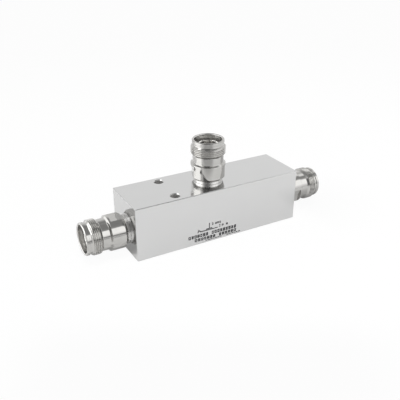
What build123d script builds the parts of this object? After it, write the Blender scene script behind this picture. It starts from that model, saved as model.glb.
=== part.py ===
from build123d import *
import os

os.makedirs("parts", exist_ok=True)

# All sizes are in millimetres. X runs along the through line, -Y is the printed front
# face and +Z is up, towards the tap port. The origin is the centre of the bottom face.

# Square bar
BAR_LENGTH = 105.8
BAR_SIDE = 31.75
BAR_EDGE_CHAMFER = 0.35
LINE_HEIGHT = 13.2
TAP_X = 0.0
LINE_BORE_R = 7.0
TAP_BORE_R = 5.0
SEAT_RELIEF = 0.5
SEAT_MOUTH_CHAMFER = 0.3

# Mounting holes, down through the bar on both sides of the line bore
MOUNT_X = -26.75
MOUNT_WALL = 0.9
MOUNT_HOLE_R = 2.6
MOUNT_HOLE_CHAMFER = 0.45

# Connector shell, from the bar's face outwards
SPIGOT_R = 7.45
SPIGOT_LENGTH = 9.0
SPIGOT_CHAMFER = 0.5
NECK_STEP = 0.85
NECK_LENGTH = 0.6
COLLAR_R = 10.1
COLLAR_LENGTH = 8.65
COLLAR_REAR_CHAMFER = 0.95
COLLAR_FRONT_TAPER = 0.8
BARREL_R = 8.9
BARREL_LENGTH = 4.25
THREAD_R = 10.0
THREAD_RUN_IN = 1.2
THREAD_LENGTH = 3.8
THREAD_NOSE = 1.2
RELIEF_DEPTH = 0.35
RELIEF_LENGTH = 1.1
LIP_WALL = 1.25
LIP_LENGTH = 1.9
LIP_OUTER_CHAMFER = 0.4
LIP_INNER_CHAMFER = 0.35
MOUTH_R = 8.0
MOUTH_DEPTH = 9.0

# Seat washer between the bar's face and the shell's neck
WASHER_WIDTH = 0.85
WASHER_THICKNESS = 1.6
WASHER_EDGE_CHAMFER = 0.15
WASHER_CLEARANCE = 0.1

# Wrench flats on the collar, with the turn of each shell as it was screwed home
WRENCH_SIZE = 18.0
WRENCH_FLAT_LENGTH = 7.5
INPUT_TURN = 0.0
OUTPUT_TURN = 109.6
TAP_TURN = -21.2

# Sealing ring in a groove of the spigot
GROOVE_START = 1.2
GROOVE_WIDTH = 1.4
GROOVE_DEPTH = 0.85
SEAL_CLEARANCE = 0.02

# Slotted contact crown, which carries the outer conductor to the mating plug
CROWN_INNER_R = 5.0
CROWN_WALL = 0.9
CROWN_RECESS = 2.9
CROWN_BASE_STEP = 0.5
CROWN_BASE_LENGTH = 4.0
CROWN_TIP_CHAMFER = 0.25
CROWN_SLOTS = 8
CROWN_SLOT_WIDTH = 0.6
CROWN_SLOT_DEPTH = 6.5
CROWN_SLOT_TURN = 5.6

# Insulating bead, between the shell's inner shoulder and the crown's base
BEAD_SHOULDER = 4.0
BEAD_LENGTH = 4.0

# Centre contact with its slotted socket
CONTACT_R = 2.15
CONTACT_RECESS = 4.8
CONTACT_BORE_R = 1.15
CONTACT_BORE_DEPTH = 7.0
CONTACT_TIP_CHAMFER = 0.3
CONTACT_SLOTS = 4
CONTACT_SLOT_WIDTH = 0.35
CONTACT_SLOT_DEPTH = 5.5
WAIST_R = 1.6
STUD_R = 1.2
STUD_LENGTH = 5.0

# Stepped through conductor, thickest in the middle, where the tap joins it
LINE_MIDDLE_R = 4.0
LINE_MIDDLE_HALF = 12.0
LINE_SHOULDER_R = 3.5
LINE_SHOULDER_LENGTH = 16.0
LINE_OUTER_R = 3.0

# Insulating discs that hold the through conductor in its bore
SUPPORT_LENGTH = 2.5
SUPPORT_WINDOWS = 4
SUPPORT_WINDOW_R = 0.9

# Tap conductor, screwed into the through conductor
TAP_SPOT_DEPTH = 0.4
TAP_SPOT_R = 2.6
TAP_STUD_DEPTH = 4.0
TAP_THIN_R = 1.6

# Clearances
SCREW_CLEARANCE = 0.05
FIT_CLEARANCE = 0.03
END_CLEARANCE = 0.3
CUT_MARGIN = 1.0

# Stations along a connector's axis, outwards from the bar's face
COLLAR_START = WASHER_THICKNESS + NECK_LENGTH
COLLAR_END = COLLAR_START + COLLAR_LENGTH
BARREL_START = COLLAR_END + COLLAR_FRONT_TAPER
BARREL_END = BARREL_START + BARREL_LENGTH
THREAD_START = BARREL_END + THREAD_RUN_IN
THREAD_END = THREAD_START + THREAD_LENGTH
RELIEF_START = THREAD_END + THREAD_NOSE
LIP_START = RELIEF_START + RELIEF_LENGTH
MOUTH_END = LIP_START + LIP_LENGTH
MOUTH_FLOOR = MOUTH_END - MOUTH_DEPTH
CROWN_START = BEAD_SHOULDER + BEAD_LENGTH
CROWN_END = MOUTH_END - CROWN_RECESS
CONTACT_END = MOUTH_END - CONTACT_RECESS

# Radii that follow from a mating piece
SEAT_R = SPIGOT_R + SCREW_CLEARANCE
GROOVE_R = SPIGOT_R - GROOVE_DEPTH
NECK_R = SPIGOT_R + NECK_STEP
WASHER_BORE_R = SPIGOT_R + WASHER_CLEARANCE
WASHER_R = WASHER_BORE_R + WASHER_WIDTH
LIP_R = MOUTH_R + LIP_WALL
RELIEF_R = LIP_R - RELIEF_DEPTH
CROWN_OUTER_R = CROWN_INNER_R + CROWN_WALL
CROWN_BASE_R = CROWN_OUTER_R + CROWN_BASE_STEP
CROWN_SEAT_R = CROWN_BASE_R + FIT_CLEARANCE
MOUNT_Y = LINE_BORE_R + MOUNT_WALL + MOUNT_HOLE_R
WAIST_HOLE_R = WAIST_R + FIT_CLEARANCE
STUD_HOLE_R = STUD_R + SCREW_CLEARANCE
LINE_HALF = BAR_LENGTH / 2 + BEAD_SHOULDER
LINE_ROOT_HALF = BAR_LENGTH / 2 - SPIGOT_LENGTH
SUPPORT_INNER = LINE_MIDDLE_HALF + LINE_SHOULDER_LENGTH
TAP_SEAT_HEIGHT = LINE_HEIGHT + LINE_MIDDLE_R - TAP_SPOT_DEPTH

# Where the three connectors stand: local Z points out of the bar
PORTS = {
    "input": Plane((-BAR_LENGTH / 2, 0, LINE_HEIGHT), x_dir=(0, 0, 1), z_dir=(-1, 0, 0)),
    "output": Plane((BAR_LENGTH / 2, 0, LINE_HEIGHT), x_dir=(0, 0, 1), z_dir=(1, 0, 0)),
    "tap": Plane((TAP_X, 0, BAR_SIDE), x_dir=(1, 0, 0), z_dir=(0, 0, 1)),
}
TURNS = {"input": INPUT_TURN, "output": OUTPUT_TURN, "tap": TAP_TURN}


def turned(outline):
    """Turn a closed outline of (radius, station) points about the local Z axis."""
    wire = Polyline(*[(radius, 0, station) for radius, station in outline], close=True)
    return revolve(make_face(wire), Axis.Z)


def rod(radius, start, end):
    """A round bar along the local Z axis, between two stations."""
    return Pos(0, 0, (start + end) / 2) * Cylinder(radius, end - start)


def slots(count, width, reach, start, end, turn):
    """Narrow radial cuts round the local Z axis, from the axis out to reach."""
    blade = Pos(reach / 2, 0, (start + end) / 2) * Box(reach, width, end - start)
    return [Rot(0, 0, turn + 360 * index / count) * blade for index in range(count)]


def seat_cut(port, bore_r, bore_depth):
    """The stepped hole that a connector's spigot screws into."""
    seat_end = -(SPIGOT_LENGTH + SEAT_RELIEF)
    mouth = SEAT_R + SEAT_MOUTH_CHAMFER
    outline = [
        (0, CUT_MARGIN),
        (mouth, CUT_MARGIN),
        (mouth, 0),
        (SEAT_R, -SEAT_MOUTH_CHAMFER),
        (SEAT_R, seat_end),
        (bore_r, seat_end),
        (bore_r, -bore_depth),
        (0, -bore_depth),
    ]
    return PORTS[port] * turned(outline)


def mount_hole(side):
    """A clearance hole down through the bar, chamfered at the top and at the bottom."""
    wide = MOUNT_HOLE_R + MOUNT_HOLE_CHAMFER
    outline = [
        (0, -CUT_MARGIN),
        (wide, -CUT_MARGIN),
        (wide, 0),
        (MOUNT_HOLE_R, MOUNT_HOLE_CHAMFER),
        (MOUNT_HOLE_R, BAR_SIDE - MOUNT_HOLE_CHAMFER),
        (wide, BAR_SIDE),
        (wide, BAR_SIDE + CUT_MARGIN),
        (0, BAR_SIDE + CUT_MARGIN),
    ]
    return Pos(MOUNT_X, side * MOUNT_Y, 0) * turned(outline)


def body_block():
    """The square bar, bored through along its line and down from the tap port."""
    bar = Pos(0, 0, BAR_SIDE / 2) * Box(BAR_LENGTH, BAR_SIDE, BAR_SIDE)
    bar = chamfer(bar.edges(), BAR_EDGE_CHAMFER)
    bar -= seat_cut("input", LINE_BORE_R, BAR_LENGTH / 2)
    bar -= seat_cut("output", LINE_BORE_R, BAR_LENGTH / 2)
    bar -= seat_cut("tap", TAP_BORE_R, BAR_SIDE - LINE_HEIGHT)
    for side in (-1, 1):
        bar -= mount_hole(side)
    return bar


def shell_outline():
    """Half section of a connector shell: the outside from the spigot out, then the inside back."""
    nose_r = LIP_R - LIP_OUTER_CHAMFER
    outside = [
        (CROWN_INNER_R, -SPIGOT_LENGTH),
        (SPIGOT_R - SPIGOT_CHAMFER, -SPIGOT_LENGTH),
        (SPIGOT_R, SPIGOT_CHAMFER - SPIGOT_LENGTH),
        (SPIGOT_R, -GROOVE_START - GROOVE_WIDTH),
        (GROOVE_R, -GROOVE_START - GROOVE_WIDTH),
        (GROOVE_R, -GROOVE_START),
        (SPIGOT_R, -GROOVE_START),
        (SPIGOT_R, WASHER_THICKNESS),
        (NECK_R, WASHER_THICKNESS),
        (NECK_R, COLLAR_START),
        (COLLAR_R - COLLAR_REAR_CHAMFER, COLLAR_START),
        (COLLAR_R, COLLAR_START + COLLAR_REAR_CHAMFER),
        (COLLAR_R, COLLAR_END),
        (BARREL_R, BARREL_START),
        (BARREL_R, BARREL_END),
        (THREAD_R, THREAD_START),
        (THREAD_R, THREAD_END),
        (RELIEF_R, RELIEF_START),
        (RELIEF_R, LIP_START),
        (LIP_R, LIP_START),
        (LIP_R, MOUTH_END - LIP_OUTER_CHAMFER),
        (nose_r, MOUTH_END),
    ]
    inside = [
        (MOUTH_R + LIP_INNER_CHAMFER, MOUTH_END),
        (MOUTH_R, MOUTH_END - LIP_INNER_CHAMFER),
        (MOUTH_R, MOUTH_FLOOR),
        (CROWN_SEAT_R, MOUTH_FLOOR),
        (CROWN_SEAT_R, BEAD_SHOULDER),
        (CROWN_INNER_R, BEAD_SHOULDER),
    ]
    return outside + inside


def connector_shell(turn):
    """The threaded body of a connector, with two wrench flats milled on its collar."""
    shell = turned(shell_outline())
    flat_end = COLLAR_START + WRENCH_FLAT_LENGTH
    reach = COLLAR_R + CUT_MARGIN
    thickness = reach - WRENCH_SIZE / 2
    cutter = Box(thickness, 2 * reach, flat_end - WASHER_THICKNESS)
    place = Pos((WRENCH_SIZE + thickness) / 2, 0, (WASHER_THICKNESS + flat_end) / 2)
    for angle in (turn, turn + 180):
        shell -= Rot(0, 0, angle) * place * cutter
    return shell


def seat_washer():
    """The flat ring that the shell's neck clamps against the bar."""
    edge_r = WASHER_R - WASHER_EDGE_CHAMFER
    outline = [
        (WASHER_BORE_R, 0),
        (edge_r, 0),
        (WASHER_R, WASHER_EDGE_CHAMFER),
        (WASHER_R, WASHER_THICKNESS - WASHER_EDGE_CHAMFER),
        (edge_r, WASHER_THICKNESS),
        (WASHER_BORE_R, WASHER_THICKNESS),
    ]
    return turned(outline)


def contact_crown():
    """The spring sleeve whose slotted rim touches the mating plug's outer conductor."""
    base_end = CROWN_START + CROWN_BASE_LENGTH
    outline = [
        (CROWN_INNER_R, CROWN_START),
        (CROWN_BASE_R, CROWN_START),
        (CROWN_BASE_R, base_end),
        (CROWN_OUTER_R, base_end),
        (CROWN_OUTER_R, CROWN_END - CROWN_TIP_CHAMFER),
        (CROWN_OUTER_R - CROWN_TIP_CHAMFER, CROWN_END),
        (CROWN_INNER_R + CROWN_TIP_CHAMFER, CROWN_END),
        (CROWN_INNER_R, CROWN_END - CROWN_TIP_CHAMFER),
    ]
    slot_start = CROWN_END - CROWN_SLOT_DEPTH
    slot_end = CROWN_END + CUT_MARGIN
    reach = CROWN_OUTER_R + CUT_MARGIN
    cuts = slots(CROWN_SLOTS, CROWN_SLOT_WIDTH, reach, slot_start, slot_end, CROWN_SLOT_TURN)
    return turned(outline) - cuts


def insulating_bead():
    """The disc that keeps the centre contact on the shell's axis."""
    outline = [
        (WAIST_HOLE_R, BEAD_SHOULDER),
        (CROWN_BASE_R, BEAD_SHOULDER),
        (CROWN_BASE_R, CROWN_START),
        (WAIST_HOLE_R, CROWN_START),
    ]
    return turned(outline)


def centre_contact():
    """The slotted socket, its waist through the bead and the stud that enters the conductor."""
    outline = [
        (0, BEAD_SHOULDER - STUD_LENGTH),
        (STUD_R, BEAD_SHOULDER - STUD_LENGTH),
        (STUD_R, BEAD_SHOULDER),
        (WAIST_R, BEAD_SHOULDER),
        (WAIST_R, CROWN_START),
        (CONTACT_R, CROWN_START),
        (CONTACT_R, CONTACT_END - CONTACT_TIP_CHAMFER),
        (CONTACT_R - CONTACT_TIP_CHAMFER, CONTACT_END),
        (CONTACT_BORE_R, CONTACT_END),
        (CONTACT_BORE_R, CONTACT_END - CONTACT_BORE_DEPTH),
        (0, CONTACT_END - CONTACT_BORE_DEPTH),
    ]
    slot_start = CONTACT_END - CONTACT_SLOT_DEPTH
    slot_end = CONTACT_END + CUT_MARGIN
    reach = CONTACT_R + CUT_MARGIN
    cuts = slots(CONTACT_SLOTS, CONTACT_SLOT_WIDTH, reach, slot_start, slot_end, 0)
    return turned(outline) - cuts


def seal_ring():
    """The round-section ring in the spigot's groove."""
    middle_r = (GROOVE_R + SEAT_R) / 2
    section_r = min(SEAT_R - GROOVE_R, GROOVE_WIDTH) / 2 - SEAL_CLEARANCE
    section = Pos(middle_r, 0, -GROOVE_START - GROOVE_WIDTH / 2) * Rot(90, 0, 0) * Circle(section_r)
    return revolve(section, Axis.Z)


def stud_hole(station):
    """The blind hole in a conductor's end that takes a contact's stud, at that station."""
    return rod(STUD_HOLE_R, station - STUD_LENGTH - END_CLEARANCE, station + CUT_MARGIN)


def through_conductor():
    """The stepped rod between the two end contacts, spot-faced and drilled for the tap."""
    along_line = Plane((0, 0, LINE_HEIGHT), x_dir=(0, 0, 1), z_dir=(1, 0, 0))
    bar = rod(CONTACT_R, -LINE_HALF, LINE_HALF)
    bar += rod(LINE_OUTER_R, -LINE_ROOT_HALF, LINE_ROOT_HALF)
    bar += rod(LINE_SHOULDER_R, -SUPPORT_INNER, SUPPORT_INNER)
    bar += rod(LINE_MIDDLE_R, -LINE_MIDDLE_HALF, LINE_MIDDLE_HALF)
    bar = along_line * bar
    for port in ("input", "output"):
        bar -= PORTS[port] * stud_hole(BEAD_SHOULDER)
    top_z = LINE_HEIGHT + LINE_MIDDLE_R + CUT_MARGIN
    hole_end = TAP_SEAT_HEIGHT - TAP_STUD_DEPTH - END_CLEARANCE
    bar -= Pos(TAP_X, 0, 0) * rod(TAP_SPOT_R, TAP_SEAT_HEIGHT, top_z)
    bar -= Pos(TAP_X, 0, 0) * rod(STUD_HOLE_R, hole_end, top_z)
    return bar


def tap_conductor():
    """The rod that branches off the through conductor up to the tap port's contact."""
    root_z = BAR_SIDE - SPIGOT_LENGTH
    top_z = BAR_SIDE + BEAD_SHOULDER
    branch = rod(STUD_R, TAP_SEAT_HEIGHT - TAP_STUD_DEPTH, TAP_SEAT_HEIGHT)
    branch += rod(TAP_THIN_R, TAP_SEAT_HEIGHT, root_z)
    branch += rod(CONTACT_R, root_z, top_z)
    branch -= stud_hole(top_z)
    return Pos(TAP_X, 0, 0) * branch


def line_support(side):
    """A disc with round windows, pushed on the conductor up to its shoulder."""
    outline = [
        (LINE_OUTER_R + FIT_CLEARANCE, 0),
        (LINE_BORE_R - FIT_CLEARANCE, 0),
        (LINE_BORE_R - FIT_CLEARANCE, SUPPORT_LENGTH),
        (LINE_OUTER_R + FIT_CLEARANCE, SUPPORT_LENGTH),
    ]
    window_circle_r = (LINE_OUTER_R + LINE_BORE_R) / 2
    disc = turned(outline)
    for index in range(SUPPORT_WINDOWS):
        place = Rot(0, 0, 360 * (index + 0.5) / SUPPORT_WINDOWS) * Pos(window_circle_r, 0, 0)
        disc -= place * rod(SUPPORT_WINDOW_R, -CUT_MARGIN, SUPPORT_LENGTH + CUT_MARGIN)
    seat = Plane((side * SUPPORT_INNER, 0, LINE_HEIGHT), x_dir=(0, 0, 1), z_dir=(side, 0, 0))
    return seat * disc


def all_pieces():
    """Every piece of the tapper in its place, by node name."""
    pieces = {
        "body_block": body_block(),
        "through_conductor": through_conductor(),
        "tap_conductor": tap_conductor(),
        "input_line_support": line_support(-1),
        "output_line_support": line_support(1),
    }
    for port, place in PORTS.items():
        pieces[f"{port}_shell"] = place * connector_shell(TURNS[port])
        pieces[f"{port}_seat_washer"] = place * seat_washer()
        pieces[f"{port}_contact_crown"] = place * contact_crown()
        pieces[f"{port}_bead"] = place * insulating_bead()
        pieces[f"{port}_centre_contact"] = place * centre_contact()
        pieces[f"{port}_seal_ring"] = place * seal_ring()
    return pieces


for node, piece in all_pieces().items():
    export_step(piece, f"parts/{node}.step")
    print(node, "volume", round(piece.volume, 1))
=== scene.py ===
import math

import bpy
from mathutils import Matrix, Vector


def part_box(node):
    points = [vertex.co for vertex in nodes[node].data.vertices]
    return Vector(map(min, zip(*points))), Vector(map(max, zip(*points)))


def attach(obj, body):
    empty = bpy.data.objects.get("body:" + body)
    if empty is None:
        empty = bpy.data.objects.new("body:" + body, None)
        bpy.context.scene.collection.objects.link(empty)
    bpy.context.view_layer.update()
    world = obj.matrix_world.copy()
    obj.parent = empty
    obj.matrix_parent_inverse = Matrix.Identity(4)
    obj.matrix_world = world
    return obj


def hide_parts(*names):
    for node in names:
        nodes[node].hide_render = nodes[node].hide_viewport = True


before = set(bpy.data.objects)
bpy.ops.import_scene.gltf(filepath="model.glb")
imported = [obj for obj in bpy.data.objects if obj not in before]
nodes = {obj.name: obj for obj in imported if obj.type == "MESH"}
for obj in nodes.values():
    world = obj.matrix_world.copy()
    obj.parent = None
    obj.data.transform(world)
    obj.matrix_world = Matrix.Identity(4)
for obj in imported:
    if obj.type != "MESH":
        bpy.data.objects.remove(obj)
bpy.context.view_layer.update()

# The bar
# One length of square aluminium, bored along its line, lapped on all sides and left bright.
# Its faces mirror softly what stands near them, and show the finest of polishing lines.
MM = 0.001
NOISE_RANGE = (0.3, 0.7)
BAR_COLOUR = (0.655, 0.655, 0.652, 1)
BAR_SHADE = (0.63, 0.631, 0.63, 1)
BAR_GLOSS = (0.09, 0.15)
BAR_PATCH_SCALE = 55
BAR_LINE_SCALE = 2600
BAR_LINE_STRETCH = (0.012, 1, 1)
BAR_LINE_DEPTH = 0.0006 * MM
HOLE_X = -26.75 * MM
HOLE_Y = 10.5 * MM
HOLE_R = 2.6 * MM
HOLE_MARGIN = 0.06 * MM
EDGE_WIDTH = 0.34 * MM
EDGE_GLOSS = 0.26
DRILLED_COLOUR = (0.5, 0.495, 0.485, 1)
DRILLED_GLOSS = 0.42
DRILLED_METAL = 0.55

bar_low, bar_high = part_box("body_block")
bar_top = bar_high.z
bar_front = bar_low.y


def add_node(tree, kind, inputs=None, **settings):
    """Adds a node to a tree, sets its properties, and fills or links its named inputs."""
    node = tree.nodes.new(kind)
    for name, value in settings.items():
        setattr(node, name, value)
    for name, value in (inputs or {}).items():
        if isinstance(value, bpy.types.NodeSocket):
            tree.links.new(value, node.inputs[name])
        else:
            node.inputs[name].default_value = value
    return node


def new_finish(name, colour, metallic):
    """A material with one Principled shader, and that shader's node."""
    material = bpy.data.materials.new(name)
    material.use_nodes = True
    tree = material.node_tree
    shader = tree.nodes["Principled BSDF"]
    shader.inputs["Base Color"].default_value = colour
    shader.inputs["Metallic"].default_value = metallic
    return material, tree, shader


def object_noise(tree, scale, stretch=(1, 1, 1)):
    """Noise on the piece's own coordinates, stretched along its axes."""
    place = add_node(tree, "ShaderNodeTexCoord").outputs["Object"]
    mapped = add_node(tree, "ShaderNodeMapping", {"Vector": place, "Scale": stretch}).outputs["Vector"]
    return add_node(tree, "ShaderNodeTexNoise", {"Vector": mapped, "Scale": scale}).outputs["Fac"]


def between(tree, factor, low, high):
    """Turns a noise factor into a plain number from low to high."""
    least, most = NOISE_RANGE
    spread = {"Value": factor, "From Min": least, "From Max": most, "To Min": low, "To Max": high}
    return add_node(tree, "ShaderNodeMapRange", spread).outputs["Result"]


def mottle(tree, shader, factor, colour, shade):
    """Lets the colour drift a little between two close shades."""
    mixed = add_node(tree, "ShaderNodeMix", {"Factor": factor}, data_type="RGBA")
    mixed.inputs["A"].default_value = colour
    mixed.inputs["B"].default_value = shade
    tree.links.new(mixed.outputs["Result"], shader.inputs["Base Color"])


def raise_lines(tree, shader, height, depth):
    """Bumps the surface by a height pattern of the given depth in metres."""
    bump = add_node(tree, "ShaderNodeBump", {"Height": height, "Distance": depth, "Strength": 1})
    tree.links.new(bump.outputs["Normal"], shader.inputs["Normal"])


def figure(tree, operation, first, second=None, third=None):
    """One step of arithmetic in a tree."""
    node = tree.nodes.new("ShaderNodeMath")
    node.operation = operation
    for socket, value in zip(node.inputs, (first, second, third)):
        if isinstance(value, bpy.types.NodeSocket):
            tree.links.new(value, socket)
        elif value is not None:
            socket.default_value = value
    return node.outputs[0]


def from_axis(tree, centre, across):
    """How far a point of the piece is from a line through a centre, measured across that line."""
    place = add_node(tree, "ShaderNodeTexCoord").outputs["Object"]
    apart = add_node(tree, "ShaderNodeVectorMath", operation="SUBTRACT")
    tree.links.new(place, apart.inputs[0])
    apart.inputs[1].default_value = centre
    flat = add_node(tree, "ShaderNodeVectorMath", operation="MULTIPLY")
    tree.links.new(apart.outputs["Vector"], flat.inputs[0])
    flat.inputs[1].default_value = across
    length = add_node(tree, "ShaderNodeVectorMath", {"Vector": flat.outputs["Vector"]}, operation="LENGTH")
    return length.outputs["Value"]


def recolour(tree, shader, share, colour):
    """Puts another colour over the present one where the share is 1."""
    present = shader.inputs["Base Color"].links[0].from_socket
    mixed = add_node(tree, "ShaderNodeMix", {"Factor": share}, data_type="RGBA")
    tree.links.new(present, mixed.inputs["A"])
    mixed.inputs["B"].default_value = colour
    tree.links.new(mixed.outputs["Result"], shader.inputs["Base Color"])


def blend(tree, share, value, other):
    """One number where the share is 0 and another where it is 1."""
    mixed = add_node(tree, "ShaderNodeMix", {"Factor": share}, data_type="FLOAT")
    for socket, level in ((mixed.inputs["A"], value), (mixed.inputs["B"], other)):
        if isinstance(level, bpy.types.NodeSocket):
            tree.links.new(level, socket)
        else:
            socket.default_value = level
    return mixed.outputs["Result"]


def on_edges(tree, low, high, width):
    """1 on a box's broken edges, where a point lies under two of its faces, and 0 on the faces."""
    place = add_node(tree, "ShaderNodeTexCoord").outputs["Object"]
    spot = add_node(tree, "ShaderNodeSeparateXYZ", {"Vector": place}).outputs
    depths = []
    for axis, start, end in zip("XYZ", low, high):
        off_centre = figure(tree, "ABSOLUTE", figure(tree, "SUBTRACT", spot[axis], (start + end) / 2))
        depths.append(figure(tree, "SUBTRACT", (end - start) / 2, off_centre))
    near = figure(tree, "LESS_THAN", depths[0], width)
    for depth in depths[1:]:
        near = figure(tree, "ADD", near, figure(tree, "LESS_THAN", depth, width))
    return figure(tree, "GREATER_THAN", near, 1)


def bright_bar_finish():
    """Lapped aluminium: soft patches in the gloss, fine lines along the bar, duller edges and holes."""
    material, tree, shader = new_finish("bright_bar", BAR_COLOUR, 1)
    patches = object_noise(tree, BAR_PATCH_SCALE)
    lines = object_noise(tree, BAR_LINE_SCALE, BAR_LINE_STRETCH)
    sides = [from_axis(tree, (HOLE_X, side * HOLE_Y, 0), (1, 1, 0)) for side in (-1, 1)]
    drilled = figure(tree, "LESS_THAN", figure(tree, "MINIMUM", *sides), HOLE_R + HOLE_MARGIN)
    edges = on_edges(tree, bar_low, bar_high, EDGE_WIDTH)
    gloss = blend(tree, edges, between(tree, patches, *BAR_GLOSS), EDGE_GLOSS)
    gloss = blend(tree, drilled, gloss, DRILLED_GLOSS)
    tree.links.new(gloss, shader.inputs["Roughness"])
    tree.links.new(blend(tree, drilled, 1.0, DRILLED_METAL), shader.inputs["Metallic"])
    mottle(tree, shader, patches, BAR_COLOUR, BAR_SHADE)
    recolour(tree, shader, drilled, DRILLED_COLOUR)
    raise_lines(tree, shader, lines, BAR_LINE_DEPTH)
    return material


def dress(node_name, material):
    """Gives a carried-over piece its finish."""
    nodes[node_name].material_slots[0].material = material


dress("body_block", bright_bar_finish())

# The line inside the bar
# A stepped rod of silver-plated brass on two white discs, with the branch screwed into it.
# It is closed in by the bar, so it only needs its plain finishes.
SILVER_COLOUR = (0.92, 0.91, 0.88, 1)
SILVER_SHADE = (0.87, 0.85, 0.81, 1)
SILVER_GLOSS = (0.24, 0.34)
DISC_COLOUR = (0.86, 0.86, 0.83, 1)
DISC_SHADE = (0.8, 0.8, 0.77, 1)
DISC_GLOSS = (0.42, 0.55)
LINE_PATCH_SCALE = 420


def mottled_finish(name, metallic, colour, shade, gloss, scale):
    """A material whose colour and gloss drift a little in soft patches."""
    material, tree, shader = new_finish(name, colour, metallic)
    patches = object_noise(tree, scale)
    tree.links.new(between(tree, patches, *gloss), shader.inputs["Roughness"])
    mottle(tree, shader, patches, colour, shade)
    return material


silver = mottled_finish("silvered", 1, SILVER_COLOUR, SILVER_SHADE, SILVER_GLOSS, LINE_PATCH_SCALE)
insulator = mottled_finish("insulator", 0, DISC_COLOUR, DISC_SHADE, DISC_GLOSS, LINE_PATCH_SCALE)
for rod in ("through_conductor", "tap_conductor"):
    dress(rod, silver)
for disc in ("input_line_support", "output_line_support"):
    dress(disc, insulator)

# The seals and the seat washers
# A black rubber ring lies in each spigot's groove, and a thin plated washer outside it,
# between the bar's face and the shell's neck, is what shows.
RUBBER_COLOUR = (0.02, 0.02, 0.021, 1)
RUBBER_SHADE = (0.035, 0.034, 0.033, 1)
RUBBER_GLOSS = (0.45, 0.6)
RUBBER_PATCH_SCALE = 900
# The washers are coloured lighter than the shells' plating: painted light that lifts the shaded crease
# between the bar and each neck.
WASHER_PAINTED_LIGHT_COLOUR = (0.8, 0.795, 0.78, 1)
WASHER_PAINTED_LIGHT_SHADE = (0.76, 0.75, 0.735, 1)
WASHER_GLOSS = (0.22, 0.32)
WASHER_PATCH_SCALE = 260
PORT_AXES = {"input": "X", "output": "X", "tap": "Z"}

rubber = mottled_finish("seal_rubber", 0, RUBBER_COLOUR, RUBBER_SHADE, RUBBER_GLOSS, RUBBER_PATCH_SCALE)
washer = mottled_finish("plated_washer", 1, WASHER_PAINTED_LIGHT_COLOUR, WASHER_PAINTED_LIGHT_SHADE, WASHER_GLOSS, WASHER_PATCH_SCALE)
for port in PORT_AXES:
    dress(port + "_seal_ring", rubber)
    dress(port + "_seat_washer", washer)

# The port shells
# Each is turned from brass bar and plated: a neck, a collar with two milled wrench flats, a
# plain barrel, an M20 x 1 right-hand thread and a lip. It is screwed into the bar.
PLATE_COLOUR = (0.53, 0.525, 0.51, 1)
PLATE_SHADE = (0.49, 0.482, 0.465, 1)
PLATE_GLOSS = (0.07, 0.12)
PLATE_PATCH_SCALE = 260
# Painted light: the bores are coloured lighter than the plating, the upward tap's lightest.
PAINTED_LIGHT_BORE_COLOURS = {"X": (0.66, 0.65, 0.635, 1), "Z": (0.82, 0.815, 0.8, 1)}
INSIDE_GLOSS = 0.3
INSIDE_R = 8.2 * MM
TURNING_SCALE = 2200
TURNING_STRETCH = 0.02
TURNING_DEPTH = 0.0009 * MM
SPIGOT_R = 7.45 * MM
SPIGOT_LENGTH = 9.0 * MM
SPIGOT_CHAMFER = 0.5 * MM
GROOVE_R = 6.6 * MM
GROOVE_FROM = -2.6 * MM
GROOVE_TO = -1.2 * MM
NECK_R = 8.3 * MM
NECK_FROM = 1.6 * MM
COLLAR_R = 10.1 * MM
COLLAR_FROM = 2.2 * MM
COLLAR_TO = 10.85 * MM
COLLAR_REAR_CHAMFER = 0.95 * MM
BARREL_R = 8.9 * MM
BARREL_FROM = 11.65 * MM
BARREL_TO = 15.9 * MM
THREAD_R = 10.0 * MM
THREAD_FROM = 17.1 * MM
THREAD_TO = 20.9 * MM
THREAD_PITCH = 1.0 * MM
THREAD_DEPTH = 0.541 * MM
THREAD_CREST_END = 1 / 8
THREAD_ROOT_START = 7 / 16
RELIEF_R = 8.9 * MM
RELIEF_FROM = 22.1 * MM
LIP_R = 9.25 * MM
LIP_FROM = 23.2 * MM
LIP_TO = 25.1 * MM
LIP_OUTER_CHAMFER = 0.4 * MM
LIP_INNER_CHAMFER = 0.35 * MM
MOUTH_R = 8.0 * MM
MOUTH_FLOOR = 16.1 * MM
CROWN_SEAT_R = 6.43 * MM
CROWN_SEAT_FLOOR = 4.0 * MM
SHELL_BORE_R = 5.0 * MM
FLATS_ACROSS = 18.0 * MM
FLATS_TO = 9.7 * MM
FLATS_STEP = 0.004 * MM
SHELL_TURNS = {"input": 0.0, "output": 109.6, "tap": -21.2}
SHELL_COLUMNS = 120
THREAD_RING_STEP = 0.05 * MM
CHAMFER_RING_STEP = 0.12 * MM
EDGE_BREAK = 0.08 * MM
SHARP_ANGLE = math.radians(10)

line_low, line_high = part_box("through_conductor")
line_height = (line_low.z + line_high.z) / 2


def plated_finish(axis):
    """Bright white-bronze plating over turned brass, lathe rings round an axis, and painted light in the
    bore.
    """
    material, tree, shader = new_finish("plated_along_" + axis.lower(), PLATE_COLOUR, 1)
    along = [1 if name == axis else TURNING_STRETCH for name in "XYZ"]
    centre, across = {"X": ((0, 0, line_height), (0, 1, 1)), "Z": ((0, 0, 0), (1, 1, 0))}[axis]
    patches = object_noise(tree, PLATE_PATCH_SCALE)
    rings = object_noise(tree, TURNING_SCALE, along)
    inside = figure(tree, "LESS_THAN", from_axis(tree, centre, across), INSIDE_R)
    gloss = blend(tree, inside, between(tree, patches, *PLATE_GLOSS), INSIDE_GLOSS)
    tree.links.new(gloss, shader.inputs["Roughness"])
    mottle(tree, shader, patches, PLATE_COLOUR, PLATE_SHADE)
    # Painted light in the bore, lighter for the upward tap than for the side ports.
    recolour(tree, shader, inside, PAINTED_LIGHT_BORE_COLOURS[axis])
    raise_lines(tree, shader, rings, TURNING_DEPTH)
    return material


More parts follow.
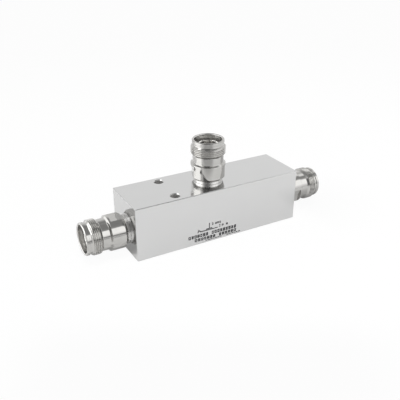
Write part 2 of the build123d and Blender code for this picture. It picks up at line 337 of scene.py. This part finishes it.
def port_place(port):
    """Where a port stands: local Z points out of the bar, and the flats face local X."""
    if port == "tap":
        origin, out, flat = Vector((0, 0, bar_top)), Vector((0, 0, 1)), Vector((1, 0, 0))
    else:
        side = 1 if port == "output" else -1
        face = bar_high.x if port == "output" else bar_low.x
        origin, out, flat = Vector((face, 0, line_height)), Vector((side, 0, 0)), Vector((0, 0, 1))
    axes = Matrix((flat, out.cross(flat), out)).transposed().to_4x4()
    turn = Matrix.Rotation(math.radians(SHELL_TURNS[port]), 4, "Z")
    return Matrix.Translation(origin) @ axes @ turn


def shell_outline():
    """The shell's half section as (radius, station) points, outside first, then back inside."""
    return [
        (SHELL_BORE_R, -SPIGOT_LENGTH),
        (SPIGOT_R - SPIGOT_CHAMFER, -SPIGOT_LENGTH),
        (SPIGOT_R, SPIGOT_CHAMFER - SPIGOT_LENGTH),
        (SPIGOT_R, GROOVE_FROM),
        (GROOVE_R, GROOVE_FROM),
        (GROOVE_R, GROOVE_TO),
        (SPIGOT_R, GROOVE_TO),
        (SPIGOT_R, NECK_FROM),
        (NECK_R, NECK_FROM),
        (NECK_R, COLLAR_FROM),
        (COLLAR_R - COLLAR_REAR_CHAMFER, COLLAR_FROM),
        (COLLAR_R, COLLAR_FROM + COLLAR_REAR_CHAMFER),
        (COLLAR_R, COLLAR_TO),
        (BARREL_R, BARREL_FROM),
        (BARREL_R, BARREL_TO),
        (THREAD_R, THREAD_FROM),
        (THREAD_R, THREAD_TO),
        (RELIEF_R, RELIEF_FROM),
        (RELIEF_R, LIP_FROM),
        (LIP_R, LIP_FROM),
        (LIP_R, LIP_TO - LIP_OUTER_CHAMFER),
        (LIP_R - LIP_OUTER_CHAMFER, LIP_TO),
        (MOUTH_R + LIP_INNER_CHAMFER, LIP_TO),
        (MOUTH_R, LIP_TO - LIP_INNER_CHAMFER),
        (MOUTH_R, MOUTH_FLOOR),
        (CROWN_SEAT_R, MOUTH_FLOOR),
        (CROWN_SEAT_R, CROWN_SEAT_FLOOR),
        (SHELL_BORE_R, CROWN_SEAT_FLOOR),
    ]


def broken_edges(outline, size):
    """Takes the sharpness off each corner of a closed outline, a third along its sides at most."""
    broken = []
    for index, corner in enumerate(outline):
        here = Vector(corner)
        for other in (outline[index - 1], outline[(index + 1) % len(outline)]):
            way = Vector(other) - here
            broken.append(here + way.normalized() * min(size, way.length / 3))
    return broken


def ring_step(station_a, station_b, radius):
    """How closely the rings follow each other on a stretch of the outline."""
    if radius > MOUTH_R and station_a >= BARREL_TO - EDGE_BREAK and station_b <= RELIEF_FROM + EDGE_BREAK:
        return THREAD_RING_STEP
    if station_a >= COLLAR_FROM and station_b <= COLLAR_FROM + COLLAR_REAR_CHAMFER + EDGE_BREAK:
        return CHAMFER_RING_STEP
    return None


def with_rings(outline):
    """Adds the rings that the thread, the flats' ends and the chamfer need."""
    fine = []
    for index, start in enumerate(outline):
        end = outline[(index + 1) % len(outline)]
        fine.append(start)
        low, high = sorted((start[1], end[1]))
        step = ring_step(low, high, min(start[0], end[0]))
        if step:
            count = math.ceil((end - start).length / step)
            fine.extend(start.lerp(end, part / count) for part in range(1, count))
        elif low < FLATS_TO < high and start[0] > FLATS_ACROSS / 2:
            for station in (FLATS_TO - FLATS_STEP, FLATS_TO + FLATS_STEP):
                fine.append(Vector((start[0], station)))
    return fine


def lathe(name, outline, columns):
    """Turns a closed outline into a mesh about the local Z axis."""
    points = []
    for radius, station in outline:
        for column in range(columns):
            angle = 2 * math.pi * column / columns
            points.append((radius * math.cos(angle), radius * math.sin(angle), station))
    faces = []
    for ring in range(len(outline)):
        here, there = ring * columns, (ring + 1) % len(outline) * columns
        for column in range(columns):
            after = (column + 1) % columns
            faces.append((here + column, here + after, there + after, there + column))
    mesh = bpy.data.meshes.new(name)
    mesh.from_pydata(points, [], faces)
    return mesh


def new_node_tree(name, inputs):
    """An empty Geometry Nodes tree with its named inputs, and the identifiers of those inputs."""
    tree = bpy.data.node_groups.new(name, "GeometryNodeTree")
    tree.interface.new_socket("Geometry", in_out="INPUT", socket_type="NodeSocketGeometry")
    tree.interface.new_socket("Geometry", in_out="OUTPUT", socket_type="NodeSocketGeometry")
    keys = {}
    for label, kind in inputs.items():
        socket = tree.interface.new_socket(label, in_out="INPUT", socket_type="NodeSocket" + kind)
        keys[label] = socket.identifier
    return tree, tree.nodes.new("NodeGroupInput"), tree.nodes.new("NodeGroupOutput"), keys


def end_tree(tree, geometry, given, result):
    """Realizes what a tree made, gives it its finish and hands it out."""
    real = add_node(tree, "GeometryNodeRealizeInstances", {"Geometry": geometry})
    coated = add_node(
        tree,
        "GeometryNodeSetMaterial",
        {"Geometry": real.outputs["Geometry"], "Material": given.outputs["Finish"]},
    )
    tree.links.new(coated.outputs["Geometry"], result.inputs["Geometry"])


def screw_cutting_tree():
    """Cuts a right-hand thread into a turned blank along local Z, and mills two flats on it."""
    labels = ("Crest radius", "Pitch", "Groove depth", "Thread start", "Across flats", "Flats end")
    inputs = {label: "Float" for label in labels}
    inputs["Finish"] = "Material"
    tree, given, result, keys = new_node_tree("cut_thread_and_flats", inputs)
    place = add_node(tree, "GeometryNodeInputPosition").outputs["Position"]
    parts = add_node(tree, "ShaderNodeSeparateXYZ", {"Vector": place}).outputs
    squares = figure(tree, "MULTIPLY_ADD", parts["X"], parts["X"], figure(tree, "POWER", parts["Y"], 2))
    radius = figure(tree, "SQRT", squares)
    turn = figure(tree, "DIVIDE", figure(tree, "ARCTAN2", parts["Y"], parts["X"]), 2 * math.pi)
    pitches = figure(tree, "DIVIDE", parts["Z"], given.outputs["Pitch"])
    phase = figure(tree, "FRACT", figure(tree, "SUBTRACT", pitches, turn))
    from_crest = figure(tree, "PINGPONG", phase, 0.5)
    groove = {"Value": from_crest, "From Min": THREAD_CREST_END, "From Max": THREAD_ROOT_START}
    depth_share = add_node(tree, "ShaderNodeMapRange", groove).outputs["Result"]
    depth = figure(tree, "MULTIPLY", depth_share, given.outputs["Groove depth"])
    limit = figure(tree, "SUBTRACT", given.outputs["Crest radius"], depth)
    kept = figure(tree, "DIVIDE", figure(tree, "MINIMUM", radius, limit), radius)
    threaded = figure(tree, "GREATER_THAN", parts["Z"], given.outputs["Thread start"])
    loss = figure(tree, "MULTIPLY", threaded, figure(tree, "SUBTRACT", kept, 1))
    scale = figure(tree, "ADD", loss, 1)
    across = figure(tree, "MULTIPLY", parts["X"], scale)
    half = figure(tree, "MULTIPLY", given.outputs["Across flats"], 0.5)
    other_flat = figure(tree, "MULTIPLY", half, -1)
    milled = figure(tree, "MAXIMUM", figure(tree, "MINIMUM", across, half), other_flat)
    behind = figure(tree, "LESS_THAN", parts["Z"], given.outputs["Flats end"])
    cut = figure(tree, "MULTIPLY", behind, figure(tree, "SUBTRACT", milled, across))
    moved = add_node(tree, "ShaderNodeCombineXYZ")
    tree.links.new(figure(tree, "ADD", across, cut), moved.inputs["X"])
    tree.links.new(figure(tree, "MULTIPLY", parts["Y"], scale), moved.inputs["Y"])
    tree.links.new(parts["Z"], moved.inputs["Z"])
    shaped = add_node(
        tree,
        "GeometryNodeSetPosition",
        {"Geometry": given.outputs["Geometry"], "Position": moved.outputs["Vector"]},
    )
    end_tree(tree, shaped.outputs["Geometry"], given, result)
    return tree, keys


def add_object(name, data):
    """A new object at the origin, in the scene."""
    made = bpy.data.objects.new(name, data)
    bpy.context.scene.collection.objects.link(made)
    return made


def plain_mesh(source):
    """An object's mesh as evaluated, once its maker is gone."""
    bpy.context.view_layer.update()
    evaluated = source.evaluated_get(bpy.context.evaluated_depsgraph_get())
    mesh = bpy.data.meshes.new_from_object(evaluated)
    source.modifiers.clear()
    bpy.data.objects.remove(source)
    return mesh


def made_by(tree, keys, values, mesh, name):
    """Runs a Geometry Nodes tree on a mesh and returns the result as a plain object."""
    source = add_object(name + "_blank", mesh)
    modifier = source.modifiers.new("shape", "NODES")
    modifier.node_group = tree
    for label, value in values.items():
        modifier[keys[label]] = value
    return add_object(name, plain_mesh(source))


def smooth_with_sharp_edges(mesh, angle):
    """Shades a mesh smooth apart from its real edges."""
    mesh.shade_smooth()
    mesh.set_sharp_from_angle(angle=angle)


plating = {axis: plated_finish(axis) for axis in sorted(set(PORT_AXES.values()))}
shell_blank = with_rings(broken_edges(shell_outline(), EDGE_BREAK))
screw_tree, screw_keys = screw_cutting_tree()
for port, axis in PORT_AXES.items():
    blank = lathe(port + "_shell_blank", shell_blank, SHELL_COLUMNS)
    sizes = {
        "Crest radius": THREAD_R,
        "Pitch": THREAD_PITCH,
        "Groove depth": THREAD_DEPTH,
        "Thread start": BARREL_TO,
        "Across flats": FLATS_ACROSS,
        "Flats end": FLATS_TO,
        "Finish": plating[axis],
    }
    shell = made_by(screw_tree, screw_keys, sizes, blank, port + "_threaded_shell")
    smooth_with_sharp_edges(shell.data, SHARP_ANGLE)
    shell.data.transform(port_place(port))
    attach(shell, "root")
    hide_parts(port + "_shell")

# The contacts in the ports
# A slotted crown of silver-plated spring bronze stands in each mouth, on a white bead that
# holds the slotted centre contact on the axis.
for port in PORT_AXES:
    dress(port + "_contact_crown", silver)
    dress(port + "_centre_contact", silver)
    dress(port + "_bead", insulator)

# The print
# Dark ink on the lower part of the front face: a line sketch of the through line and its
# tap with plain port numbers, and rows of open and solid blocks under and beside it.
INK_COLOUR = (0.03, 0.03, 0.032, 1)
INK_SHADE = (0.055, 0.055, 0.058, 1)
INK_GLOSS = (0.35, 0.55)
INK_PATCH_SCALE = 3500
INK_THICKNESS = 0.02 * MM
# Each row: name, left end, right end, height, height of its marks (mm), number of marks, seed.
INK_ROWS = (
    ("upper", -20.8, 11.4, 5.55, 2.2, 17, 4),
    ("middle", -16.7, 11.4, 3.05, 2.0, 14, 9),
    ("lower", -11.4, 14.0, 1.45, 0.6, 16, 2),
    ("tap_note", -3.6, 0.6, 11.1, 1.4, 3, 5),
    ("line_note", 1.0, 5.2, 8.8, 1.4, 3, 7),
)
BLOCK_GAPS = 0.12
BLOCKS_OPEN = 0.45
BLOCK_STROKE = 0.35
BLOCK_WIDTHS = (0.7, 0.88)
BLOCK_HEIGHTS = (0.9, 1)
SKETCH_STROKES = (
    ((-15.4, 7.8), (-15.0, 9.1)),
    ((-15.0, 9.1), (-13.6, 8.0)),
    ((-13.6, 8.0), (-2.7, 8.0)),
    ((-8.0, 9.0), (-8.0, 12.0)),
    ((-9.9, 8.75), (-6.3, 8.75)),
)
SKETCH_LINE = 0.6
SKETCH_NUMBERS = (("2", -1.6, 8.1), ("3", -6.3, 10.4))
SKETCH_NUMBER_SIZE = 2.2
SKETCH_NUMBER_WEIGHT = 0.1


def ink_block(tree, given, step, share, place):
    """One slab of ink in a row's tree: its share of a mark's width and height, and its place there."""
    spans = {"X": step, "Z": given.outputs["Mark height"]}
    size = {axis: figure(tree, "MULTIPLY", span, part) for (axis, span), part in zip(spans.items(), share)}
    spot = {axis: figure(tree, "MULTIPLY", span, part) for (axis, span), part in zip(spans.items(), place)}
    size["Y"] = given.outputs["Thickness"]
    size, spot = (add_node(tree, "ShaderNodeCombineXYZ", parts).outputs["Vector"] for parts in (size, spot))
    slab = add_node(tree, "GeometryNodeMeshCube", {"Size": size}).outputs["Mesh"]
    return add_node(tree, "GeometryNodeSetPosition", {"Geometry": slab, "Offset": spot}).outputs["Geometry"]


def printed_row_tree():
    """A row of open and solid blocks of uneven width, along local X from the origin."""
    inputs = {"Marks": "Int", "Length": "Float", "Mark height": "Float", "Thickness": "Float"}
    inputs.update({"Seed": "Int", "Finish": "Material"})
    tree, given, result, keys = new_node_tree("print_row", inputs)
    step = figure(tree, "DIVIDE", given.outputs["Length"], given.outputs["Marks"])
    stride = add_node(tree, "ShaderNodeCombineXYZ", {"X": step}).outputs["Vector"]
    spacing = {"Count": given.outputs["Marks"], "Offset": stride}
    line = add_node(tree, "GeometryNodeMeshLine", spacing, mode="OFFSET")
    across, up = (1, BLOCK_STROKE), (BLOCK_STROKE, 1 - 2 * BLOCK_STROKE)
    apart = (1 - BLOCK_STROKE) / 2
    whole = ink_block(tree, given, step, (1, 1), (0, 0))
    sides = [ink_block(tree, given, step, across, (0, side * apart)) for side in (-1, 1)]
    sides += [ink_block(tree, given, step, up, (side * apart, 0)) for side in (-1, 1)]
    open_block = add_node(tree, "GeometryNodeJoinGeometry")
    for side in sides:
        tree.links.new(side, open_block.inputs["Geometry"])
    kinds = add_node(tree, "GeometryNodeGeometryToInstance")
    for kind in (whole, open_block.outputs["Geometry"]):
        tree.links.new(kind, kinds.inputs["Geometry"])
    seed = given.outputs["Seed"]
    least, most = ((width, 1, height) for width, height in zip(BLOCK_WIDTHS, BLOCK_HEIGHTS))
    scales = {"Min": least, "Max": most, "Seed": seed}
    uneven = add_node(tree, "FunctionNodeRandomValue", scales, data_type="FLOAT_VECTOR")
    drawn = add_node(tree, "FunctionNodeRandomValue", {"Seed": seed}, data_type="FLOAT")
    which = figure(tree, "LESS_THAN", drawn.outputs[1], BLOCKS_OPEN)
    chance = {"Probability": 1 - BLOCK_GAPS, "Seed": seed}
    kept = add_node(tree, "FunctionNodeRandomValue", chance, data_type="BOOLEAN")
    marks = add_node(
        tree,
        "GeometryNodeInstanceOnPoints",
        {
            "Points": line.outputs["Mesh"],
            "Selection": kept.outputs[3],
            "Instance": kinds.outputs["Instances"],
            "Pick Instance": True,
            "Instance Index": which,
            "Scale": uneven.outputs["Value"],
        },
    )
    end_tree(tree, marks.outputs["Instances"], given, result)
    return tree, keys


def lay_on_front(piece, x, z):
    """Moves a flat piece of print to its place on the front face."""
    piece.data.transform(Matrix.Translation((x * MM, bar_front - INK_THICKNESS / 2, z * MM)))
    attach(piece, "root")


def ink_stroke(start, end, name):
    """One straight line of the sketch, as a thin slab with square ends."""
    a, b = Vector(start) * MM, Vector(end) * MM
    way = (b - a).normalized()
    side = Vector((-way.y, way.x)) * SKETCH_LINE * MM / 2
    a, b = a - way * side.length, b + way * side.length
    ring = [a - side, b - side, b + side, a + side]
    half = INK_THICKNESS / 2
    points = [(p.x, y, p.y) for y in (-half, half) for p in ring]
    faces = [(0, 1, 2, 3), (7, 6, 5, 4), (0, 4, 5, 1), (1, 5, 6, 2), (2, 6, 7, 3), (3, 7, 4, 0)]
    mesh = bpy.data.meshes.new(name)
    mesh.from_pydata(points, [], faces)
    mesh.materials.append(ink)
    return add_object(name, mesh)


def ink_number(text, name):
    """A plain port number, as a thin slab."""
    curve = bpy.data.curves.new(name, "FONT")
    curve.body = text
    curve.size = SKETCH_NUMBER_SIZE * MM
    curve.extrude = INK_THICKNESS / 2
    curve.offset = SKETCH_NUMBER_WEIGHT * MM
    mesh = plain_mesh(add_object(name + "_curve", curve))
    mesh.transform(Matrix.Rotation(math.radians(90), 4, "X"))
    mesh.materials.clear()
    mesh.materials.append(ink)
    return add_object(name, mesh)


ink = mottled_finish("dark_ink", 0, INK_COLOUR, INK_SHADE, INK_GLOSS, INK_PATCH_SCALE)
row_tree, row_keys = printed_row_tree()
for name, left, right, height, mark_height, marks, seed in INK_ROWS:
    row_sizes = {
        "Marks": marks,
        "Length": (right - left) * MM,
        "Mark height": mark_height * MM,
        "Thickness": INK_THICKNESS,
        "Seed": seed,
        "Finish": ink,
    }
    blank = bpy.data.meshes.new("row_blank")
    printed = made_by(row_tree, row_keys, row_sizes, blank, "print_row_" + name)
    lay_on_front(printed, left, height)
for index, (start, end) in enumerate(SKETCH_STROKES):
    lay_on_front(ink_stroke(start, end, f"print_line_{index + 1}"), 0, 0)
for text, x, z in SKETCH_NUMBERS:
    lay_on_front(ink_number(text, "print_number_" + text), x, z)

# The camera
# It stands in front of the bar's left half and looks down on it, as in the photograph.
# Azimuths here and in the studio run from the front towards the left.
CAMERA_AZIMUTH = 29.375
CAMERA_ELEVATION = 26.378
CAMERA_ROLL = 0.085
CAMERA_DISTANCE = 331.06 * MM
CAMERA_SHIFT_RIGHT = -4.556 * MM
CAMERA_SHIFT_UP = 1.95 * MM
CAMERA_LENS = 49.97
CAMERA_SENSOR = 36
CAMERA_CLIP = (CAMERA_DISTANCE / 50, CAMERA_DISTANCE * 100)


def way_to(azimuth, elevation=0):
    """The direction from the object at an azimuth and an elevation in degrees."""
    turn, rise = math.radians(azimuth), math.radians(elevation)
    return Vector((-math.sin(turn) * math.cos(rise), -math.cos(turn) * math.cos(rise), math.sin(rise)))


def set_camera():
    """Puts the camera at the photograph's angle, level but for a trace of roll."""
    back = way_to(CAMERA_AZIMUTH, CAMERA_ELEVATION)
    right = way_to(CAMERA_AZIMUTH - 90)
    turn = Matrix.Rotation(math.radians(CAMERA_ROLL), 3, back)
    right, up = turn @ right, turn @ back.cross(right)
    centre = (bar_low + bar_high) / 2
    place = centre + back * CAMERA_DISTANCE + right * CAMERA_SHIFT_RIGHT + up * CAMERA_SHIFT_UP
    lens = bpy.data.cameras.new("camera")
    lens.lens = CAMERA_LENS
    lens.sensor_width = CAMERA_SENSOR
    lens.clip_start, lens.clip_end = CAMERA_CLIP
    camera = add_object("camera", lens)
    camera.matrix_world = Matrix.Translation(place) @ Matrix((right, up, back)).transposed().to_4x4()
    bpy.context.scene.camera = camera


set_camera()

# The studio
# A white floor under a pool of light, white walls and a darker ceiling, all in metres. A softbox
# in front, lit cards at the left and behind and a dark camera side are there for gloss only, and
# draw the bright and grey bands. Two soft shades are painted into the floor's colour, ahead and
# by the right port.
FLOOR_SIZE = 12
FLOOR_COLOUR = (0.8, 0.8, 0.8, 1)
FLOOR_GLOW = {"Is Camera Ray": 0.95, "Is Transmission Ray": 0.95, "Is Glossy Ray": 0.15}
# Painted shade in the floor's colour: one patch ahead of the camera and one by the right port.
SHADE_AHEAD = (0.078, 0.112)
SHADE_HALF_WIDTH = (0.108, 0.055)
SHADE_SHARE = 0.5
PORT_SHADE_CENTRE = (0.074, 0, 0)
PORT_SHADE_REACH = 0.054
PORT_SHADE_ALONG = (0.056, 0.072)
PORT_SHADE_SHARE = 0.5
WALL_LIGHT = 0.95
CEILING_LIGHT = 0.34
CEILING_RISE = (0.45, 0.87)
SURROUND_FILL = 0.65
SURROUND_TILT = -0.4
FRONT_LAMP = {"azimuth": -30, "elevation": 31, "distance": 1.0, "size": (1.15, 0.5), "radiance": 1.4}
CARDS = (
    {"name": "front_box", "azimuths": (-2, -64), "distance": 1.0, "heights": (0, 1.02), "level": 1.65,
     "soft": (0.2, 0.35, 0.16)},
    {"name": "side_card", "azimuths": (68, 124), "distance": 0.14, "heights": (0.035, 0.22), "level": 2.5,
     "soft": (0.3, 0.0, 0.1)},
    {"name": "low_card", "azimuths": (74, 142), "distance": 0.14, "heights": (0, 0.035), "level": 1.7,
     "soft": (0.35, 0.0, 0.0)},
    {"name": "far_side_card", "azimuths": (98, 141), "distance": 0.8, "heights": (0.05, 0.6), "level": 2.4,
     "soft": (0.25, 0.1, 0.1)},
    {"name": "back_panel", "azimuths": (-84, -146), "distance": 1.0, "heights": (0.64, 2.8), "level": 1.2,
     "soft": (0.2, 0.14, 0.7)},
    {"name": "dark_gap", "azimuths": (141, 159), "distance": 1.0, "heights": (0, 0.9), "level": 0.78,
     "soft": (0.3, 0.0, 0.3)},
    {"name": "camera_side", "azimuths": (8, 62), "distance": 0.9, "heights": (0, 2.4), "level": 0.2,
     "soft": (0.1, 0.0, 0.1)},
    {"name": "box_foot", "azimuths": (-26, 8), "distance": 0.8, "heights": (0, 0.15), "level": 0.35,
     "soft": (0.2, 0.0, 0.5)},
)
POOL_PLACE = (-0.1, -0.2, 1.1)
POOL_CENTRE = (0.05, -0.02, 0)
POOL_RADIUS = 0.4
POOL_BLEND = 0.5
POOL_POWER = 26.5
POOL_SOFTNESS = 0.2


def by_ray(tree, shares):
    """The largest of the given levels whose kind of ray is the present one."""
    path = add_node(tree, "ShaderNodeLightPath").outputs
    level = 0.0
    for kind, share in shares.items():
        level = figure(tree, "MAXIMUM", figure(tree, "MULTIPLY", path[kind], share), level)
    return level


def eased(tree, value, limits, levels=(0, 1)):
    """A soft step between two levels while a value goes from one limit to the other."""
    spread = {"Value": value, "From Min": limits[0], "From Max": limits[1]}
    spread.update({"To Min": levels[0], "To Max": levels[1]})
    return add_node(tree, "ShaderNodeMapRange", spread, interpolation_type="SMOOTHSTEP").outputs["Result"]


def stage_sheet(name, points):
    """A flat sheet of the studio, and the empty tree of its material."""
    mesh = bpy.data.meshes.new(name)
    mesh.from_pydata(points, [], [(0, 1, 2, 3)])
    material = bpy.data.materials.new(name)
    material.use_nodes = True
    material.node_tree.nodes.clear()
    mesh.materials.append(material)
    return add_object(name, mesh), material.node_tree


def glowing_over(tree, base, level, share):
    """Ends a sheet's material: its base, with a glow of some level taking a share of it."""
    glow = add_node(tree, "ShaderNodeEmission", {"Strength": level})
    mixed = add_node(tree, "ShaderNodeMixShader", {"Fac": share})
    tree.links.new(base.outputs["BSDF"], mixed.inputs[1])
    tree.links.new(glow.outputs["Emission"], mixed.inputs[2])
    add_node(tree, "ShaderNodeOutputMaterial", {"Surface": mixed.outputs["Shader"]})


def floor_shade(tree):
    """How much painted shade darkens the floor's colour at a place: ahead of the camera, and by the right
    port.
    """
    place = add_node(tree, "ShaderNodeTexCoord").outputs["Object"]
    turned = add_node(tree, "ShaderNodeVectorRotate", {"Vector": place}, rotation_type="Z_AXIS")
    turned.inputs["Angle"].default_value = math.radians(CAMERA_AZIMUTH)
    spot = add_node(tree, "ShaderNodeSeparateXYZ", {"Vector": turned.outputs["Vector"]}).outputs
    # Painted shade on the floor ahead of the camera.
    ahead = eased(tree, figure(tree, "MULTIPLY", spot["Y"], -1), SHADE_AHEAD)
    wide = eased(tree, figure(tree, "ABSOLUTE", spot["X"]), SHADE_HALF_WIDTH)
    shade = figure(tree, "MULTIPLY", figure(tree, "MULTIPLY", ahead, wide), SHADE_SHARE)
    # Painted shadow by the right port, darkest near it and gone past its reach.
    reach = {"Value": from_axis(tree, PORT_SHADE_CENTRE, (1, 1, 0)), "From Max": PORT_SHADE_REACH}
    reach.update({"To Min": PORT_SHADE_SHARE, "To Max": 0})
    corner = add_node(tree, "ShaderNodeMapRange", reach).outputs["Result"]
    along = add_node(tree, "ShaderNodeSeparateXYZ", {"Vector": place}).outputs["X"]
    corner = figure(tree, "MULTIPLY", corner, eased(tree, along, PORT_SHADE_ALONG))
    return figure(tree, "MAXIMUM", shade, corner)


def lay_floor():
    """The floor: plain white to the camera, and lit for the metal like any floor, with painted shade in its
    colour.
    """
    half = FLOOR_SIZE / 2
    corners = [(-half, -half, 0), (half, -half, 0), (half, half, 0), (-half, half, 0)]
    floor, tree = stage_sheet("floor", corners)
    shaded = add_node(tree, "ShaderNodeMix", {"Factor": floor_shade(tree)}, data_type="RGBA")
    shaded.inputs["A"].default_value = FLOOR_COLOUR
    shaded.inputs["B"].default_value = (0, 0, 0, 1)
    matt = add_node(tree, "ShaderNodeBsdfDiffuse", {"Color": shaded.outputs["Result"]})
    glowing_over(tree, matt, 1, by_ray(tree, FLOOR_GLOW))


def light_surround():
    """The world: white to the camera, white walls and a darker ceiling to the metal."""
    world = bpy.data.worlds.new("surround")
    world.use_nodes = True
    bpy.context.scene.world = world
    tree = world.node_tree
    way = add_node(tree, "ShaderNodeTexCoord").outputs["Generated"]
    parts = add_node(tree, "ShaderNodeSeparateXYZ", {"Vector": way}).outputs
    room = eased(tree, parts["Z"], CEILING_RISE, (WALL_LIGHT, CEILING_LIGHT))
    shares = {"Is Camera Ray": 1, "Is Transmission Ray": 1, "Is Glossy Ray": 1}
    unseen = figure(tree, "SUBTRACT", 1.0, by_ray(tree, shares))
    seen = by_ray(tree, {**shares, "Is Glossy Ray": room})
    fill = figure(tree, "MULTIPLY_ADD", parts["X"], SURROUND_TILT, SURROUND_FILL)
    fill = figure(tree, "MULTIPLY", unseen, fill)
    background = tree.nodes["Background"]
    background.inputs["Color"].default_value = (1, 1, 1, 1)
    tree.links.new(figure(tree, "MAXIMUM", seen, fill), background.inputs["Strength"])


def hang(name, light, place, target):
    """Hangs a lamp that faces a target and that gloss doesn't show."""
    place, target = Vector(place), Vector(target)
    turn = (place - target).to_track_quat("Z", "Y").to_matrix().to_4x4()
    lamp = add_object(name, light)
    lamp.matrix_world = Matrix.Translation(place) @ turn
    lamp.visible_glossy = False


def hang_front_lamp(name, azimuth, elevation, distance, size, radiance):
    """The softbox's own light on what isn't glossy."""
    light = bpy.data.lights.new(name, "AREA")
    light.shape = "RECTANGLE"
    light.size, light.size_y = size
    light.energy = radiance * math.pi * light.size * light.size_y
    hang(name, light, way_to(azimuth, elevation) * distance, (0, 0, 0))


def faded(tree, place, soft):
    """How solid a card is at a place on it, from 0 on its outer edge to 1 past its soft rim."""
    along, up = place["X"], place["Y"]
    rims = [(along, soft[0]), (figure(tree, "SUBTRACT", 1.0, along), soft[0])]
    rims += [(up, soft[1]), (figure(tree, "SUBTRACT", 1.0, up), soft[2])]
    solid = 1.0
    for inward, rim in rims:
        if rim:
            solid = figure(tree, "MULTIPLY", eased(tree, inward, (0, rim)), solid)
    return solid


def stand_card(name, azimuths, distance, heights, level, soft):
    """An upright card with soft rims beside the object, which only gloss shows."""
    ends = [way_to(azimuth) * distance for azimuth in azimuths]
    corners = ((0, 0), (1, 0), (1, 1), (0, 1))
    points = [(ends[across].x, ends[across].y, heights[up]) for across, up in corners]
    card, tree = stage_sheet(name, points)
    for corner, place in zip(card.data.uv_layers.new(name="card").data, corners):
        corner.uv = place
    spot = add_node(tree, "ShaderNodeTexCoord").outputs["UV"]
    solid = faded(tree, add_node(tree, "ShaderNodeSeparateXYZ", {"Vector": spot}).outputs, soft)
    glowing_over(tree, add_node(tree, "ShaderNodeBsdfTransparent"), level, solid)
    card.visible_camera = False
    card.visible_diffuse = False
    card.visible_shadow = False
    card.visible_transmission = False


def hang_pool_light():
    """A soft spot from above the front that lights the floor round the object."""
    light = bpy.data.lights.new("pool_light", "SPOT")
    reach = (Vector(POOL_PLACE) - Vector(POOL_CENTRE)).length
    light.energy = POOL_POWER
    light.spot_size = 2 * math.atan(POOL_RADIUS / reach)
    light.spot_blend = POOL_BLEND
    light.shadow_soft_size = POOL_SOFTNESS
    hang("pool_light", light, POOL_PLACE, POOL_CENTRE)


lay_floor()
light_surround()
hang_front_lamp("front_lamp", **FRONT_LAMP)
for card in CARDS:
    stand_card(**card)
hang_pool_light()
bpy.context.scene.view_settings.view_transform = "Standard"
